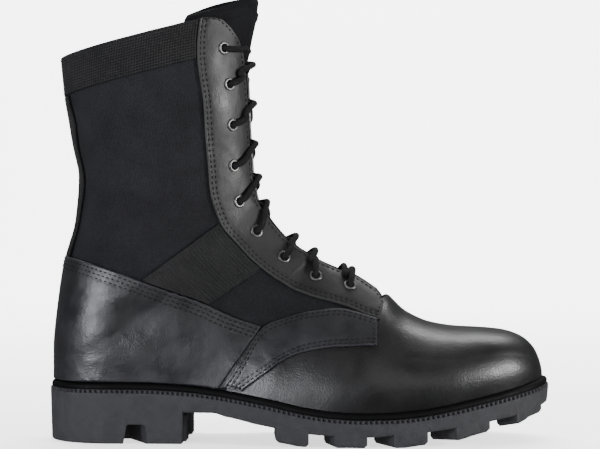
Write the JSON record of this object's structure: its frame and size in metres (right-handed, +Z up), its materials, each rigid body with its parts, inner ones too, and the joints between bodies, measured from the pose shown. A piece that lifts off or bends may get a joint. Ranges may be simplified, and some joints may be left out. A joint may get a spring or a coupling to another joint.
{
  "type": "jungle boot",
  "caption": "Black canvas and leather jungle boot for the right foot, laced over a tongue, on a lugged rubber sole.",
  "frame": {"origin": "on the floor under the middle of the heel", "axes": "+X towards the toe, +Z up, +Y towards the inner side of the foot"},
  "size_m": [0.3113, 0.1131, 0.2746],
  "materials": {
    "canvas_and_leather": "black nylon canvas shaft with a black leather vamp",
    "leather": "satin",
    "webbing": "ribbed nylon webbing",
    "tongue_canvas": "woven",
    "lining_cloth": "woven",
    "rubber": "matte",
    "lace_cord": "braided",
    "eyelet_metal": "black enamel worn at the rim"
  },
  "bodies": {
    "root": {"upper": "canvas_and_leather", "outsole": "rubber", "insole": "lining_cloth", "tongue": "tongue_canvas", "quarter": "leather", "eyestay_outer": "leather", "eyestay_inner": "leather", "side_band_outer": "leather", "side_band_inner": "leather", "collar_band": "webbing", "backstay": "webbing", "ankle_strap_outer": "webbing", "ankle_strap_inner": "webbing", "lace_crossing_1": "lace_cord", "lace_crossing_2": "lace_cord", "lace_crossing_3": "lace_cord", "lace_crossing_4": "lace_cord", "lace_crossing_5": "lace_cord", "lace_crossing_6": "lace_cord", "lace_crossing_7": "lace_cord", "lace_crossing_8": "lace_cord", "eyelet_outer_1": "eyelet_metal", "eyelet_outer_2": "eyelet_metal", "eyelet_outer_3": "eyelet_metal", "eyelet_outer_4": "eyelet_metal", "eyelet_outer_5": "eyelet_metal", "eyelet_outer_6": "eyelet_metal", "eyelet_outer_7": "eyelet_metal", "eyelet_outer_8": "eyelet_metal", "eyelet_outer_9": "eyelet_metal", "eyelet_inner_1": "eyelet_metal", "eyelet_inner_2": "eyelet_metal", "eyelet_inner_3": "eyelet_metal", "eyelet_inner_4": "eyelet_metal", "eyelet_inner_5": "eyelet_metal", "eyelet_inner_6": "eyelet_metal", "eyelet_inner_7": "eyelet_metal", "eyelet_inner_8": "eyelet_metal", "eyelet_inner_9": "eyelet_metal"}
  },
  "joints": []
}
